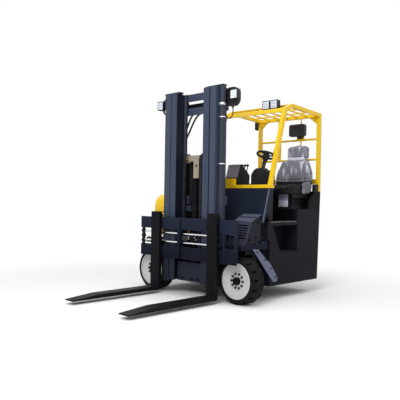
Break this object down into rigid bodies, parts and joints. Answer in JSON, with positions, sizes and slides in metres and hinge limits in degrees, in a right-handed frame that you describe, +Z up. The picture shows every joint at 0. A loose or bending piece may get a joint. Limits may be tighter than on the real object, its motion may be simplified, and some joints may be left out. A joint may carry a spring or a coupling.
{
  "type": "sideways-travelling counterbalance forklift",
  "caption": "Compact counterbalance forklift whose wheels all turn for side travel, with a tilting telescopic mast, wide fork carriage, open cab and yellow overhead guard.",
  "frame": {"origin": "on the ground, under the middle of the plan box from the fork tips to the rear of the truck, with the blades lowered", "axes": "+Z up, forks point to -Y, the driver's left is +X"},
  "size_m": [1.945, 2.9, 2.463],
  "materials": {
    "yellow_paint": "semi-gloss",
    "slate_paint": "satin",
    "navy_paint": "satin",
    "black_paint": "satin",
    "white_paint": "gloss",
    "grey_plate": "satin",
    "cast": "painted casting",
    "steel": "machined",
    "chrome": "polished",
    "zinc": "yellow passivated",
    "tyre": "matt",
    "plastic": "grained",
    "fabric": "woven",
    "pad": "soft",
    "lamp": "with clear lens"
  },
  "bodies": {
    "truck": {"chassis_frame": "slate_paint", "counterweight": "cast", "engine_block": "cast", "engine_hood": "yellow_paint", "side_panel_left": "navy_paint", "side_panel_right": "navy_paint", "step_treads": "black_paint", "cab_floor": "black_paint", "front_panel": "navy_paint", "fender_left": "slate_paint", "arch_plates": "grey_plate", "guard_frame": "yellow_paint", "guard_roof": "yellow_paint", "dash_console": "plastic", "control_levers": "plastic", "seat_base": "plastic", "seat_cushion": "pad", "seat_back": "fabric", "rear_mirror": "plastic", "work_lamps": "lamp", "tilt_cylinders": "black_paint"},
    "steering": {"steering_wheel": "plastic"},
    "mast": {"mast_outer": "slate_paint", "lift_cylinders": "slate_paint", "mast_lamps": "lamp"},
    "tilt_rod_pair": {"tilt_rods": "chrome"},
    "inner_mast": {"mast_inner": "slate_paint", "lift_rods": "chrome", "free_lift_cylinder": "black_paint"},
    "chain_head": {"crosshead": "zinc", "lift_chains": "steel"},
    "carriage": {"carriage_frame": "slate_paint", "carriage_brackets": "slate_paint", "positioner_rods": "chrome"},
    "left_fork": {"fork_left": "black_paint"},
    "right_fork": {"fork_right": "black_paint"},
    "left_swivel": {"front_left_knuckle": "black_paint"},
    "left_wheel": {"front_left_rim": "white_paint", "front_left_tyre": "tyre"},
    "right_swivel": {"front_right_knuckle": "black_paint"},
    "right_wheel": {"front_right_rim": "white_paint", "front_right_tyre": "tyre"},
    "rear_swivel": {"rear_knuckle": "black_paint"},
    "rear_wheel": {"rear_rim": "white_paint", "rear_tyre": "tyre"}
  },
  "joints": [
    {"name": "left_steer", "type": "hinge", "parent": "truck", "child": "left_swivel", "pos_m": [0.71, 0.025, 0.6], "axis": [0, 0, 1], "range_deg": [0, 90]},
    {"name": "left_spin", "type": "hinge", "parent": "left_swivel", "child": "left_wheel", "pos_m": [0.71, -0.005, 0.2625], "axis": [0, -1, 0], "continuous": true},
    {"name": "right_steer", "type": "hinge", "parent": "truck", "child": "right_swivel", "pos_m": [-0.71, 0.025, 0.6], "axis": [0, 0, -1], "range_deg": [0, 90]},
    {"name": "right_spin", "type": "hinge", "parent": "right_swivel", "child": "right_wheel", "pos_m": [-0.71, -0.005, 0.2625], "axis": [0, -1, 0], "continuous": true},
    {"name": "rear_steer", "type": "hinge", "parent": "truck", "child": "rear_swivel", "pos_m": [0, 1.06, 0.6], "axis": [0, 0, 1], "range_deg": [-90, 90]},
    {"name": "rear_spin", "type": "hinge", "parent": "rear_swivel", "child": "rear_wheel", "pos_m": [0, 1.06, 0.23], "axis": [0, -1, 0], "continuous": true},
    {"name": "steering_turn", "type": "hinge", "parent": "truck", "child": "steering", "pos_m": [0.5, 0.618, 1.527], "axis": [0, 0.342, 0.9397], "continuous": true},
    {"name": "mast_tilt", "type": "hinge", "parent": "truck", "child": "mast", "pos_m": [0, 0.135, 0.27], "axis": [1, 0, 0], "range_deg": [-6, 3]},
    {"name": "tilt_rod_slide", "type": "slide", "parent": "truck", "child": "tilt_rod_pair", "axis": [0, -1, 0], "range_m": [-0.058, 0.03]},
    {"name": "mast_lift", "type": "slide", "parent": "mast", "child": "inner_mast", "axis": [0, 0, 1], "range_m": [0, 1.6]},
    {"name": "free_lift", "type": "slide", "parent": "inner_mast", "child": "chain_head", "axis": [0, 0, 1], "range_m": [0, 0.62]},
    {"name": "chain_lift", "type": "slide", "parent": "chain_head", "child": "carriage", "axis": [0, 0, 1], "range_m": [0, 0.62], "deforming": ["lift_chains"]},
    {"name": "left_fork_slide", "type": "slide", "parent": "carriage", "child": "left_fork", "axis": [1, 0, 0], "range_m": [-0.29, 0.22]},
    {"name": "right_fork_slide", "type": "slide", "parent": "carriage", "child": "right_fork", "axis": [-1, 0, 0], "range_m": [-0.29, 0.22]}
  ],
  "couplings": [
    {"joint": "tilt_rod_slide", "follows": "mast_tilt", "m_per_rad": 0.53},
    {"joint": "chain_lift", "follows": "free_lift", "ratio": 1},
    {"joint": "right_fork_slide", "follows": "left_fork_slide", "ratio": 1}
  ]
}
